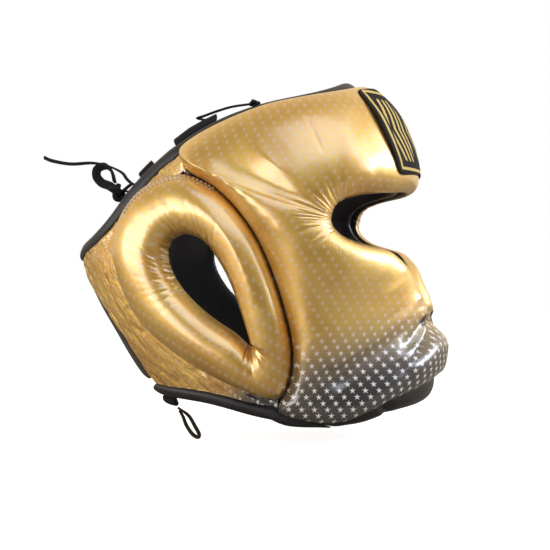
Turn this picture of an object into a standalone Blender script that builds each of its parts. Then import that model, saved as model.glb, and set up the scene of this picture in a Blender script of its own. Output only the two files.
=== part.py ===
"""Boxing headgear with an open, laced crown, in metres with +Z up.

The wearer faces -Y and the wearer's right side is at -X. Every padded piece lies on one head
form. A place on it is a turn in degrees from the middle of the brow round to the nape, positive
on the right side, and a height as a share of FORM_HALF_HEIGHT. "Out" is the distance from the form.
"""

import math

import bmesh
import bpy
import numpy as np

# Head form: the hollow that the head fills
FORM_HALF_LENGTH = 0.140
FORM_HALF_WIDTH = 0.081
FORM_HALF_HEIGHT = 0.130
FORM_ROUNDNESS = 2.3

# Thicknesses of the padded pieces
LINING_THICKNESS = 0.009
PAD_SEAM = 0.0035
PAD_LIFT = 0.0155
PAD_ROLL = 0.019
CROWN_ROLL = 0.040
EDGE_THINNING = 0.75
CHIN_FILL = 0.0145
UNDER_ROLL = 0.016
RING_SEAM = 0.006
RING_LIFT = 0.020
RING_INNER_ROLL = 0.016
RING_OUTER_ROLL = 0.018
PANEL_THICKNESS = 0.0045
BACK_THICKNESS = 0.004
BACK_INSET = 0.006
LAYER_GAP = 0.0014
PATCH_GAP = 0.0008
SEAM_GAP = 0.0007
CREASE_GAP = 0.0027

# Tapes, patch and laces
TAPE_WIDTH = 0.0085
TAPE_THICKNESS = 0.0055
PATCH_THICKNESS = 0.0012
PATCH_LOW, PATCH_HIGH = 0.14, 0.92
LACE_DIAMETER = 0.0032
KNOT_DIAMETER = 0.0062
WEBBING_THICKNESS = 0.0045
TIE_DIAMETER = 0.0022

# Mesh density: loft sections for each row of a table, and points across the inner face
SECTIONS_PER_ROW = 2
UNDER_POINTS = 4


def table(columns, rows):
    """The rows as one array for each named column."""
    return dict(zip(columns.split(), np.array(rows, float).T))


# Levels of the head form. "up" is a share of FORM_HALF_HEIGHT, half_width of FORM_HALF_WIDTH,
# and widest, front and back, measured forward from the origin, are shares of FORM_HALF_LENGTH.
FORM = table("up half_width widest front back", [
    (-0.95, 0.820, 0.05, 0.550, -0.550),
    (-0.86, 0.840, 0.04, 0.610, -0.590),
    (-0.66, 0.890, -0.01, 0.735, -0.730),
    (-0.50, 0.920, -0.05, 0.785, -0.840),
    (-0.385, 0.950, -0.06, 0.780, -0.900),
    (-0.154, 0.990, -0.07, 0.715, -1.010),
    (0.115, 1.000, -0.07, 0.670, -1.090),
    (0.385, 0.975, -0.04, 0.660, -0.985),
    (0.60, 0.930, 0.01, 0.650, -0.840),
    (0.77, 0.840, 0.06, 0.610, -0.710),
    (0.92, 0.720, 0.11, 0.560, -0.560),
    (1.04, 0.520, 0.16, 0.500, -0.340),
    (1.16, 0.200, 0.20, 0.380, -0.100),
])

# The ear ring, once round from its top towards the face: the ear hole and the sewn rim.
EAR_RING = table("hole_turn hole_up rim_turn rim_up lift", [
    (116.5, 0.222, 122.5, 0.563, 0.95),
    (112.5, 0.205, 108.0, 0.490, 0.95),
    (108.5, 0.170, 95.0, 0.380, 0.95),
    (104.0, 0.110, 82.5, 0.225, 0.95),
    (99.5, 0.035, 74.5, 0.045, 0.95),
    (95.8, -0.045, 69.5, -0.130, 0.95),
    (92.8, -0.135, 66.0, -0.290, 0.95),
    (89.8, -0.235, 64.2, -0.450, 0.95),
    (87.2, -0.335, 67.0, -0.585, 0.95),
    (86.0, -0.395, 73.5, -0.685, 0.90),
    (87.5, -0.402, 81.0, -0.712, 0.90),
    (91.0, -0.365, 90.0, -0.693, 0.95),
    (95.5, -0.320, 100.5, -0.645, 1.00),
    (102.5, -0.272, 112.0, -0.575, 1.00),
    (110.0, -0.205, 124.0, -0.470, 1.00),
    (116.5, -0.130, 134.5, -0.350, 1.00),
    (121.8, -0.040, 141.5, -0.205, 1.00),
    (125.2, 0.055, 145.3, -0.020, 1.00),
    (126.3, 0.140, 147.6, 0.150, 1.00),
    (125.3, 0.190, 147.3, 0.320, 1.00),
    (123.0, 0.220, 143.0, 0.485, 1.00),
    (120.0, 0.230, 133.0, 0.567, 0.95),
])


def spline(values, place, closed=False):
    """Smooth values between rows. A whole number in place meets its row."""
    values = np.asarray(values, float)
    place = np.asarray(place, float)
    row = np.floor(place).astype(int)
    share = (place - row).reshape(place.shape + (1,) * (values.ndim - 1))

    def at_row(index):
        if closed:
            return values[index % len(values)]
        return values[np.clip(index, 0, len(values) - 1)]

    before, here, after, later = (at_row(row + step) for step in (-1, 0, 1, 2))
    start_lean = (after - before) / 2
    end_lean = (later - here) / 2
    rest = 1 - share
    return (
        here * (1 + 2 * share) * rest**2
        + start_lean * share * rest**2
        + after * share**2 * (3 - 2 * share)
        - end_lean * share**2 * rest
    )


def rim(place, outward=0.0):
    """Turn and height on the ear ring's rim, counted in the rows of EAR_RING."""
    rows = np.stack([EAR_RING["rim_turn"], EAR_RING["rim_up"]], axis=1)
    fine = spline(rows, np.arange(0, len(rows), 0.25), closed=True)
    pushed = push(fine, outward, closed=True)
    return spline(pushed, np.asarray(place) * 4, closed=True)


def form_radii(up):
    """Half width, widest point, front and back of the head form at a height, in metres."""
    knots = FORM["up"]
    columns = np.stack([FORM[name] for name in ("half_width", "widest", "front", "back")], axis=1)
    slopes = np.gradient(columns, knots, axis=0)
    index = np.clip(np.searchsorted(knots, up) - 1, 0, len(knots) - 2)
    step = (knots[index + 1] - knots[index])[..., None]
    share = (np.asarray(up) - knots[index])[..., None] / step
    rest = 1 - share
    shares = (
        columns[index] * (1 + 2 * share) * rest**2
        + slopes[index] * step * share * rest**2
        + columns[index + 1] * share**2 * (3 - 2 * share)
        - slopes[index + 1] * step * share**2 * rest
    )
    half_width, widest, front, back = np.moveaxis(shares, -1, 0)
    return (
        half_width * FORM_HALF_WIDTH,
        widest * FORM_HALF_LENGTH,
        front * FORM_HALF_LENGTH,
        back * FORM_HALF_LENGTH,
    )


def on_form(turn, up):
    """Points of the head form: a rounded oval at every height."""
    turn = np.radians(np.asarray(turn, float))
    up = np.asarray(up, float)
    half_width, widest, front, back = form_radii(up)
    reach = np.where(np.cos(turn) >= 0, front - widest, widest - back)
    size = np.abs(np.cos(turn) / reach) ** FORM_ROUNDNESS
    size = size + np.abs(np.sin(turn) / half_width) ** FORM_ROUNDNESS
    radius = size ** (-1 / FORM_ROUNDNESS)
    return np.stack([
        -radius * np.sin(turn),
        -(widest + radius * np.cos(turn)),
        up * FORM_HALF_HEIGHT,
    ], axis=-1)


def slopes_of_form(turn, up):
    """How a point of the form moves for a degree of turn and for a whole share of height."""
    turn_step, up_step = 0.1, 0.001
    by_turn = (on_form(turn + turn_step, up) - on_form(turn - turn_step, up)) / (2 * turn_step)
    by_up = (on_form(turn, up + up_step) - on_form(turn, up - up_step)) / (2 * up_step)
    return by_turn, by_up


def outward_of_form(turn, up):
    by_turn, by_up = slopes_of_form(turn, up)
    normal = np.cross(by_up, by_turn)
    return normal / np.linalg.norm(normal, axis=-1, keepdims=True)


def at(turn, up, out):
    """Points at a distance out from the head form."""
    turn, up, out = np.broadcast_arrays(np.asarray(turn, float), up, out)
    return on_form(turn, up) + outward_of_form(turn, up) * out[..., None]


def push(outline, distance, closed=False):
    """An outline moved sideways along the form, to the left of its own direction."""
    outline = np.asarray(outline, float)
    if not np.any(distance):
        return outline
    turn, up = outline.T
    points = on_form(turn, up)
    if closed:
        along = np.roll(points, -1, axis=0) - np.roll(points, 1, axis=0)
    else:
        along = np.gradient(points, axis=0)
    along /= np.linalg.norm(along, axis=1, keepdims=True)
    sideways = np.cross(outward_of_form(turn, up), along)
    by_turn, by_up = slopes_of_form(turn, up)
    turn_turn = (by_turn * by_turn).sum(1)
    turn_up = (by_turn * by_up).sum(1)
    up_up = (by_up * by_up).sum(1)
    want_turn = (by_turn * sideways).sum(1) * distance
    want_up = (by_up * sideways).sum(1) * distance
    scale = turn_turn * up_up - turn_up**2
    moved_turn = (want_turn * up_up - want_up * turn_up) / scale
    moved_up = (want_up * turn_turn - want_turn * turn_up) / scale
    return outline + np.stack([moved_turn, moved_up], axis=1)


# The front pad's right half from the middle of the brow round to the middle of the chin: the face
# opening, the outer edge, and the edge of the lining below it. "lift" is a share of PAD_LIFT,
# "taper" is 1 where both layers thin out towards the crown, and "fill" is a share of CHIN_FILL.
# Where the edge follows the ear ring, its place is taken from the ring's rim.
RIM_ROWS = range(0, 10)
FRONT_COLUMNS = "hole_turn hole_up edge_turn edge_up lift taper under_turn under_up fill"
BROW_ROWS = [
    (0.0, 0.490, 0.0, 1.098, 0.65, 1.0, 0.0, 1.098, 0.0),
    (12.0, 0.485, 22.0, 1.086, 0.68, 1.0, 22.0, 1.086, 0.0),
    (23.0, 0.475, 43.0, 1.052, 0.80, 1.0, 43.0, 1.052, 0.0),
    (32.0, 0.466, 64.0, 1.012, 0.95, 1.0, 64.0, 1.012, 0.0),
    (39.0, 0.452, 84.0, 0.980, 0.90, 1.0, 84.0, 0.980, 0.0),
    (43.0, 0.437, 103.0, 0.945, 0.90, 1.0, 103.0, 0.945, 0.0),
    (46.0, 0.418, 118.0, 0.885, 0.90, 1.0, 118.0, 0.885, 0.0),
    (48.0, 0.395, 129.0, 0.810, 0.90, 1.0, 129.0, 0.810, 0.0),
    (49.2, 0.370, 137.0, 0.712, 0.90, 0.9, 137.0, 0.712, 0.0),
    (49.8, 0.345, 130.5, 0.632, 0.90, 0.3, 130.5, 0.632, 0.0),
]
TEMPLE_COLUMNS = "hole_turn hole_up lift"
TEMPLE_ROWS = [
    (50.0, 0.318, 0.95),
    (49.3, 0.288, 1.00),
    (47.8, 0.255, 1.00),
    (45.0, 0.222, 1.00),
    (40.0, 0.190, 1.00),
    (32.0, 0.162, 0.95),
    (23.0, 0.128, 0.90),
    (16.0, 0.040, 0.85),
    (12.0, -0.070, 0.85),
    (9.8, -0.160, 0.85),
]
JAW_ROWS = [
    (9.0, -0.228, 80.3, -0.777, 0.85, 0.0, 80.3, -0.777, 0.0),
    (10.0, -0.282, 69.0, -0.802, 0.85, 0.0, 69.0, -0.812, 0.1),
    (12.8, -0.332, 57.0, -0.815, 0.85, 0.0, 57.0, -0.845, 0.3),
    (16.5, -0.395, 46.0, -0.775, 0.85, 0.0, 45.5, -0.865, 0.5),
    (20.5, -0.440, 35.0, -0.700, 0.85, 0.0, 35.0, -0.840, 0.6),
    (15.5, -0.385, 24.0, -0.635, 0.70, 0.0, 25.0, -0.785, 0.65),
    (8.0, -0.325, 12.0, -0.570, 0.60, 0.0, 13.0, -0.765, 0.7),
    (0.0, -0.300, 0.0, -0.540, 0.60, 0.0, 0.0, -0.755, 0.7),
]

# The rear panel's outer edge, from the hem up the back to the top, beside places on the ring's rim.
REAR_PANEL = table("rim_place edge_turn edge_up", [
    (9.7, 81.2, -0.768),
    (11.0, 93.0, -0.745),
    (12.0, 106.0, -0.708),
    (13.0, 120.0, -0.672),
    (14.0, 135.0, -0.652),
    (15.0, 149.0, -0.625),
    (16.0, 152.0, -0.450),
    (17.0, 159.0, -0.235),
    (18.0, 165.5, -0.080),
    (18.4, 170.5, 0.085),
    (18.8, 161.5, 0.150),
    (19.2, 155.5, 0.230),
    (19.7, 151.5, 0.330),
    (20.2, 149.0, 0.440),
    (20.8, 146.0, 0.530),
    (21.3, 142.5, 0.615),
    (21.8, 139.2, 0.688),
])
HEM_CORNER_ROW = 5
HEM_LAST_JAW_ROW = 2.5
BACK_CORNER_ROW = 9
CROWN_CORNER_ROW = 8


# Section of a tape: share across it from the edge that it covers, and share of its thickness
TAPE_SECTION = ((0, 0.1), (0, 0.85), (0.5, 1.0), (1.0, 0.65), (0.85, 0.0))

# Webbing tabs on the crown's edge: name, first and last turn, and how far they stand off
WEBBING_TABS = [
    ("crown", 138.0, 126.0, 0.0085),
    ("rear", 146.3, 143.4, 0.0070),
]
NAPE_TAB_TURNS = (139.0, 145.0)
NAPE_TAB_RISE = 0.007

# Routes of laces, chosen by hand: shares of the form's half width, half length and half height,
# towards the wearer's left, back and up
CROWN_KNOT = (0.625, 0.050, 1.011)
REAR_KNOT = (-0.495, 0.851, 0.503)
CROWN_LACE = [
    (-0.625, 0.077, 1.009),
    (-0.612, 0.180, 0.996),
    (-0.606, 0.270, 0.970),
    (-0.597, 0.335, 0.947),
    (-0.560, 0.375, 0.938),
    (-0.400, 0.385, 0.942),
    (-0.200, 0.390, 0.950),
    (0.0, 0.392, 0.954),
]
REAR_LACE = [
    (-0.597, 0.758, 0.541),
    (-0.500, 0.815, 0.508),
    (-0.250, 0.845, 0.515),
    (0.0, 0.850, 0.523),
    (0.250, 0.840, 0.530),
    (0.500, 0.800, 0.540),
    (0.560, 0.765, 0.545),
]
LACE_BOW = [
    (-0.473, 0.868, 0.519),
    (-0.400, 0.915, 0.545),
    (-0.350, 0.965, 0.565),
    (-0.335, 0.998, 0.605),
    (-0.350, 0.990, 0.650),
    (-0.395, 0.935, 0.665),
    (-0.450, 0.890, 0.630),
    (-0.480, 0.868, 0.565),
]
LACE_FREE_END = [
    (-0.671, 0.729, 0.541),
    (-0.625, 0.752, 0.553),
    (-0.617, 0.776, 0.577),
    (-0.593, 0.811, 0.618),
    (-0.531, 0.904, 0.661),
    (-0.457, 1.005, 0.682),
    (-0.370, 1.145, 0.682),
    (-0.309, 1.264, 0.705),
    (-0.272, 1.322, 0.728),
]
NAPE_TIE_LOOP = [
    (-0.688, 0.472, -0.787),
    (-0.704, 0.411, -0.831),
    (-0.704, 0.375, -0.892),
    (-0.704, 0.351, -0.940),
    (-0.704, 0.359, -0.958),
    (-0.704, 0.389, -0.940),
    (-0.704, 0.423, -0.888),
    (-0.704, 0.441, -0.840),
]
LACE_SECTIONS = 2


def mirrored_route(route):
    """A route from the right side to the middle, carried on as its mirror image."""
    return route + [(-across, back, up) for across, back, up in route[-2::-1]]


def front_rows():
    """The front pad's right half as named columns."""
    rows = list(BROW_ROWS)
    for row, place in zip(TEMPLE_ROWS, RIM_ROWS):
        hole_turn, hole_up, lift = row
        edge_turn, edge_up = rim(place, CREASE_GAP)
        rows.append((hole_turn, hole_up, edge_turn, edge_up, lift, 0.0, edge_turn, edge_up, 0.0))
    return table(FRONT_COLUMNS, rows + JAW_ROWS)


def mirrored_loop(rows, odd_columns):
    """A right half and its mirror image as one closed loop of rows."""
    loop = {}
    for name, column in rows.items():
        sign = -1 if name in odd_columns else 1
        loop[name] = np.concatenate([column, sign * column[-2:0:-1]])
    return loop


def front_loop():
    return mirrored_loop(front_rows(), ("hole_turn", "edge_turn", "under_turn"))


def pairs(rows, first, second):
    return np.stack([rows[first], rows[second]], axis=1)


def front_edge(rows, places, turn_name, up_name):
    """An outer edge of the front pad or its lining, which follows the ear rings exactly."""
    edge = spline(pairs(rows, turn_name, up_name), places, closed=True)
    count = len(rows[up_name])
    on_left = places > count / 2
    half_places = np.where(on_left, count - places, places)
    first = len(BROW_ROWS)
    beside = (half_places >= first) & (half_places <= first + RIM_ROWS[-1])
    edge[beside] = rim(half_places[beside] - first, CREASE_GAP)
    edge[beside & on_left] *= (-1, 1)
    return edge


def closed_places(rows, per_row=SECTIONS_PER_ROW):
    count = len(next(iter(rows.values())))
    return np.arange(count * per_row) / per_row


def open_places(first, last, per_row=SECTIONS_PER_ROW):
    return np.linspace(first, last, round((last - first) * per_row) + 1)


def rounded(distance, radius):
    """0 at an edge, rising as a quarter circle to 1 at a radius from it."""
    share = np.clip(distance / radius, 0, 1)
    return np.sqrt(1 - (1 - share) ** 2)


def blend(first, last, share):
    return first + (last - first) * share


def new_object(name, mesh_or_curve, material):
    made = bpy.data.objects.new(name, mesh_or_curve)
    made.data.materials.append(material)
    headgear.objects.link(made)
    return made


def loft(name, sections, material, closed):
    """A closed body through sections that have the same number of points."""
    count, points = sections.shape[:2]
    shape = bmesh.new()
    rings = [[shape.verts.new(point) for point in section] for section in sections]
    for index in range(count if closed else count - 1):
        near, far = rings[index], rings[(index + 1) % count]
        for corner in range(points):
            after = (corner + 1) % points
            square = (near[corner], near[after], far[after], far[corner])
            # Both layers of a pad split their squares along the shorter diagonal, so that they match
            turned = (square[2].co - square[0].co).length > (square[3].co - square[1].co).length
            square = square[turned:] + square[:turned]
            shape.faces.new((square[0], square[1], square[2]))
            shape.faces.new((square[0], square[2], square[3]))
    if not closed:
        shape.faces.new(rings[0])
        shape.faces.new(rings[-1][::-1])
    bmesh.ops.recalc_face_normals(shape, faces=shape.faces)
    mesh = bpy.data.meshes.new(name)
    shape.to_mesh(mesh)
    shape.free()
    return new_object(name, mesh, material)


def widths(inner, outer):
    """How wide the piece is between its two outlines, at each section."""
    middle = (inner + outer) / 2
    points = [on_form(*outline.T) for outline in (inner, middle, outer)]
    return sum(np.linalg.norm(points[i + 1] - points[i], axis=1) for i in (0, 1))


def across_shares(width, inner_roll, outer_roll):
    """Shares across a pad, close together where its edges roll over."""
    inner = np.minimum(inner_roll / width, 0.45)[:, None] * (0, 0.14, 0.5, 1)
    outer = 1 - np.minimum(outer_roll / width, 0.45)[:, None] * (1, 0.5, 0.14, 0)
    middle = (inner[:, -1:] + outer[:, :1]) / 2
    return np.concatenate([inner, middle, outer], axis=1)


def quilted(name, inner, outer, low, high, material, closed, under_count=UNDER_POINTS):
    """A pad between two outlines. low and high give its two faces' distances from the form."""
    width = widths(inner, outer)
    over = across_shares(width, high["inner_roll"], high["outer_roll"])
    under = np.broadcast_to(np.linspace(1, 0, under_count), (len(width), under_count))
    sections = []
    for shares, height in ((over, high["height"]), (under, low)):
        turn = blend(inner[:, :1], outer[:, :1], shares)
        up = blend(inner[:, 1:], outer[:, 1:], shares)
        sections.append(at(turn, up, height(shares, width[:, None])))
    return loft(name, np.concatenate(sections, axis=1), material, closed)


def lining_top(share, fill, taper):
    """Where the lining ends and the front pad begins, with the chin filled out."""
    thinned = 1 - EDGE_THINNING * taper * share**3
    return LINING_THICKNESS * thinned + CHIN_FILL * fill * share**2


def front_height(share, width, rows, places):
    """The front pad's outer face: a roll at each edge, longer and lower towards the crown."""
    lift, fill, taper = (
        spline(rows[name], places, closed=True)[:, None] for name in ("lift", "fill", "taper")
    )
    outer_roll = blend(PAD_ROLL, CROWN_ROLL, taper)
    roll = rounded(share * width, PAD_ROLL) * rounded((1 - share) * width, outer_roll)
    return lining_top(share, fill, taper) + LAYER_GAP + PAD_SEAM + PAD_LIFT * lift * roll


def make_front_pad(material):
    rows = front_loop()
    places = closed_places(rows)
    inner = spline(pairs(rows, "hole_turn", "hole_up"), places, closed=True)
    outer = front_edge(rows, places, "edge_turn", "edge_up")
    fill = spline(rows["fill"], places, closed=True)[:, None]
    taper = spline(rows["taper"], places, closed=True)[:, None]

    def height(share, width):
        return front_height(share, width, rows, places)

    def underside(share, width):
        return lining_top(share, fill, taper) + LAYER_GAP + 0 * width

    high = {"height": height, "inner_roll": PAD_ROLL, "outer_roll": PAD_ROLL}
    return quilted("front_pad", inner, outer, underside, high, material, True)


def make_front_lining(material):
    """The inner half of the face pad, which also fills out the jaw below the front pad's edge."""
    rows = front_loop()
    places = closed_places(rows)
    inner = spline(pairs(rows, "hole_turn", "hole_up"), places, closed=True)
    seam = front_edge(rows, places, "edge_turn", "edge_up")
    outer = front_edge(rows, places, "under_turn", "under_up")
    fill = spline(rows["fill"], places, closed=True)
    taper = spline(rows["taper"], places, closed=True)
    overhang = widths(seam, outer)
    sections = []
    for share in np.linspace(0, 1, UNDER_POINTS):
        spot = blend(inner, seam, share)
        sections.append(at(spot[:, 0], spot[:, 1], lining_top(share, fill, taper)))
    for share in (0.35, 0.7, 1.0):
        spot = blend(seam, outer, share)
        puff = CHIN_FILL * fill * 0.5 * math.sin(math.pi * share)
        level = rounded((1 - share) * overhang, UNDER_ROLL)
        level = np.where(overhang > UNDER_ROLL / 2, level, 1 - share * 0.25)
        out = blend(LINING_THICKNESS * 0.25, lining_top(1, fill, taper) + puff, level)
        sections.append(at(spot[:, 0], spot[:, 1], out))
    for share in (1, 0.5, 0):
        spot = blend(inner, outer, share)
        sections.append(at(spot[:, 0], spot[:, 1], 0.0))
    return loft("front_lining", np.stack(sections, axis=1), material, closed=True)


def make_ear_ring(side, sign, material):
    places = closed_places(EAR_RING)
    inner = spline(pairs(EAR_RING, "hole_turn", "hole_up"), places, closed=True)
    outer = rim(places)
    lift = spline(EAR_RING["lift"], places, closed=True)[:, None]

    def height(share, width):
        roll = rounded(share * width, RING_INNER_ROLL) * rounded((1 - share) * width, RING_OUTER_ROLL)
        return RING_SEAM + RING_LIFT * lift * roll

    def underside(share, width):
        return 0 * share * width

    high = {"height": height, "inner_roll": RING_INNER_ROLL, "outer_roll": RING_OUTER_ROLL}
    flip = (sign, 1)
    return quilted(
        "ear_ring_" + side, inner * flip, outer * flip, underside, high, material, True
    )


def panel_outlines():
    """The rear panel's edge beside the ear ring, and its outer edge."""
    places = open_places(0, len(REAR_PANEL["rim_place"]) - 1)
    rim_places = spline(REAR_PANEL["rim_place"], places)
    inner = rim(rim_places, SEAM_GAP)
    outer = spline(pairs(REAR_PANEL, "edge_turn", "edge_up"), places)
    return inner, outer


def make_rear_panel(side, sign, material):
    inner, outer = panel_outlines()
    flip = (sign, 1)

    def height(share, width):
        return PANEL_THICKNESS * (0.75 + 0.25 * np.sin(math.pi * share)) + 0 * width

    def underside(share, width):
        return 0 * share * width

    high = {"height": height, "inner_roll": PANEL_THICKNESS, "outer_roll": PANEL_THICKNESS}
    return quilted(
        "rear_panel_" + side, inner * flip, outer * flip, underside, high, material, False, 3
    )


def make_back_panel(material):
    """The closure panel at the nape, between the two rear panels."""
    edge = pairs(REAR_PANEL, "edge_turn", "edge_up")
    right = push(spline(edge, open_places(HEM_CORNER_ROW, BACK_CORNER_ROW)), SEAM_GAP)
    left = right * (-1, 1) + (360, 0)
    sections = []
    shares = np.linspace(0, 1, 7)
    for order, thickness in ((shares, BACK_THICKNESS), (shares[::-1], 0.0)):
        for share in order:
            spot = blend(right, left, share)
            inset = BACK_INSET * math.sin(math.pi * share)
            sections.append(at(spot[:, 0], spot[:, 1], thickness - inset))
    return loft("back_panel", np.stack(sections, axis=1), material, closed=False)


def tape(name, line, sign, width, thickness, material, closed, offset=SEAM_GAP):
    """A rounded tape that lies on the left of an edge line of the right side."""
    near = push(line, offset, closed)
    far = push(line, offset + width, closed)
    sections = []
    for share, out in TAPE_SECTION:
        spot = blend(near, far, share) * (sign, 1)
        sections.append(at(spot[:, 0], spot[:, 1], thickness * out))
    return loft(name, np.stack(sections, axis=1), material, closed)


def crown_line():
    """The right half of the crown's edge, from the middle of the brow to the middle of the nape."""
    front = front_edge(front_loop(), open_places(0, CROWN_CORNER_ROW), "edge_turn", "edge_up")
    last_row = len(REAR_PANEL["edge_up"]) - 1
    back_places = open_places(BACK_CORNER_ROW, last_row)[::-1]
    back = spline(pairs(REAR_PANEL, "edge_turn", "edge_up"), back_places)
    middle = np.array([[180.0, back[-1][1]]])
    nape = blend(back[-1:], middle, np.array([[0.5], [1.0]]))
    return np.concatenate([front, back, nape])


def make_top_binding(material):
    """The tape round the open crown, along the pads' upper edges and over the back panel."""
    right = crown_line()
    left = right[-2:0:-1] * (-1, 1) + (360, 0)
    line = np.concatenate([right, left])[::-1]
    return tape("top_binding", line, 1, TAPE_WIDTH, TAPE_THICKNESS, material, closed=True)


def hem_line():
    """The right side's lower edge, from the jaw back to the nape."""
    first_jaw = len(BROW_ROWS) + len(TEMPLE_ROWS)
    jaw_places = open_places(first_jaw, first_jaw + HEM_LAST_JAW_ROW)[::-1]
    jaw = spline(pairs(front_rows(), "under_turn", "under_up"), jaw_places)
    back = spline(pairs(REAR_PANEL, "edge_turn", "edge_up"), open_places(0, HEM_CORNER_ROW))
    return np.concatenate([jaw, back])


def make_hem_binding(side, sign, material):
    line = hem_line()
    name = "hem_binding_" + side
    return tape(name, line, sign, TAPE_WIDTH, TAPE_THICKNESS, material, closed=False)


def make_webbing_tab(name, line, first, last, sign, material, rise):
    """A webbing tab that stands off a tape's outer edge between two turns."""
    turns = np.linspace(first, last, 4)
    order = np.argsort(line[:, 0])
    ups = np.interp(turns, line[order, 0], line[order, 1])
    edge = np.stack([turns, ups], axis=1)
    offset = SEAM_GAP + TAPE_WIDTH + SEAM_GAP
    return tape(name, edge, sign, rise, WEBBING_THICKNESS, material, False, offset)


def make_lace(name, route, material, cyclic=False, diameter=LACE_DIAMETER):
    """A lace along route points, which are shares of the head form's half sizes."""
    sizes = np.array([FORM_HALF_WIDTH, FORM_HALF_LENGTH, FORM_HALF_HEIGHT])
    points = np.array(route) * sizes
    if cyclic:
        places = np.arange(len(points) * 2) / 2
    else:
        places = open_places(0, len(points) - 1, LACE_SECTIONS)
    points = spline(points, places, closed=cyclic)
    curve = bpy.data.curves.new(name, "CURVE")
    curve.dimensions = "3D"
    curve.bevel_depth = diameter / 2
    curve.bevel_resolution = 1
    curve.use_fill_caps = not cyclic
    path = curve.splines.new("POLY")
    path.points.add(len(points) - 1)
    path.use_cyclic_u = cyclic
    for knot, point in zip(path.points, points):
        knot.co = (*point, 1)
    return new_object(name, curve, material)


def make_knot(name, place, material, diameter=KNOT_DIAMETER):
    mesh = bpy.data.meshes.new(name)
    shape = bmesh.new()
    bmesh.ops.create_uvsphere(shape, u_segments=8, v_segments=6, radius=diameter / 2)
    shape.to_mesh(mesh)
    shape.free()
    made = new_object(name, mesh, material)
    sizes = (FORM_HALF_WIDTH, FORM_HALF_LENGTH, FORM_HALF_HEIGHT)
    made.location = [share * size for share, size in zip(place, sizes)]
    return made


def make_brow_patch(material):
    """A thin woven patch laid on the front pad, two rows of it to each side of the middle."""
    rows = front_loop()
    places = np.arange(-4, 5) / 2
    inner = spline(pairs(rows, "hole_turn", "hole_up"), places, closed=True)
    outer = spline(pairs(rows, "edge_turn", "edge_up"), places, closed=True)
    width = widths(inner, outer)[:, None]
    shares = blend(PATCH_LOW, PATCH_HIGH, np.linspace(0, 1, 7))
    sections = []
    for order, extra in ((shares, PATCH_THICKNESS), (shares[::-1], 0.0)):
        for share in order:
            spot = blend(inner, outer, share)
            out = front_height(share, width, rows, places)[:, 0] + PATCH_GAP + extra
            sections.append(at(spot[:, 0], spot[:, 1], out))
    return loft("brow_patch", np.stack(sections, axis=1), material, closed=False)


def principled(name, colour, roughness, metallic=0.0):
    made = bpy.data.materials.new(name)
    made.use_nodes = True
    shader = made.node_tree.nodes["Principled BSDF"]
    shader.inputs["Base Color"].default_value = (*colour, 1)
    shader.inputs["Roughness"].default_value = roughness
    shader.inputs["Metallic"].default_value = metallic
    return made


for old in list(bpy.data.objects):
    bpy.data.objects.remove(old, do_unlink=True)
headgear = bpy.data.collections.new("boxing_headgear")
bpy.context.scene.collection.children.link(headgear)

GOLD = (0.70, 0.38, 0.08)
BLACK = (0.02, 0.02, 0.025)

make_front_pad(principled("front leather", GOLD, 0.3, 0.5))
make_front_lining(principled("lining leather", BLACK, 0.45))
for side, sign in (("right", 1), ("left", -1)):
    make_ear_ring(side, sign, principled("ring leather " + side, GOLD, 0.3, 0.5))
    make_rear_panel(side, sign, principled("panel leather " + side, GOLD, 0.3, 0.5))
    make_hem_binding(side, sign, principled("hem tape " + side, BLACK, 0.6))
    for place, first, last, rise in WEBBING_TABS:
        name = "lace_tab_" + place + "_" + side
        make_webbing_tab(
            name, crown_line(), first, last, sign, principled(name + " webbing", BLACK, 0.8), rise
        )
    knot_place = (-sign * CROWN_KNOT[0], CROWN_KNOT[1], CROWN_KNOT[2])
    make_knot("lace_knot_" + side, knot_place, principled("knot cord " + side, BLACK, 0.8))
make_back_panel(principled("back leather", BLACK, 0.45))
make_top_binding(principled("crown tape", BLACK, 0.6))
make_brow_patch(principled("patch weave", BLACK, 0.8))
make_lace("crown_lace", mirrored_route(CROWN_LACE), principled("crown cord", BLACK, 0.8))
make_lace("rear_lace", REAR_LACE, principled("rear cord", BLACK, 0.8))
make_lace("lace_bow", LACE_BOW, principled("bow cord", BLACK, 0.8))
make_lace("lace_free_end", LACE_FREE_END, principled("end cord", BLACK, 0.8))
make_knot("lace_knot_rear", REAR_KNOT, principled("rear knot cord", BLACK, 0.8))
first, last = NAPE_TAB_TURNS
make_webbing_tab(
    "nape_tab", hem_line(), first, last, 1, principled("nape webbing", BLACK, 0.8), NAPE_TAB_RISE
)
make_lace(
    "nape_tie_loop", NAPE_TIE_LOOP, principled("tie ribbon", BLACK, 0.7), True, TIE_DIAMETER
)
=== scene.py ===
"""The looks of the boxing headgear: padded gold leather that fades to black, tapes, patch and laces.

Metres, +Z up, the face towards -Y and the wearer's right side at -X. Every padded piece starts as
a copy of its CAD solid, which is then smoothed, gathered and wrinkled.
"""

import math

import bpy
import numpy as np
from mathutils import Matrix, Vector, noise
from mathutils.bvhtree import BVHTree


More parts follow.
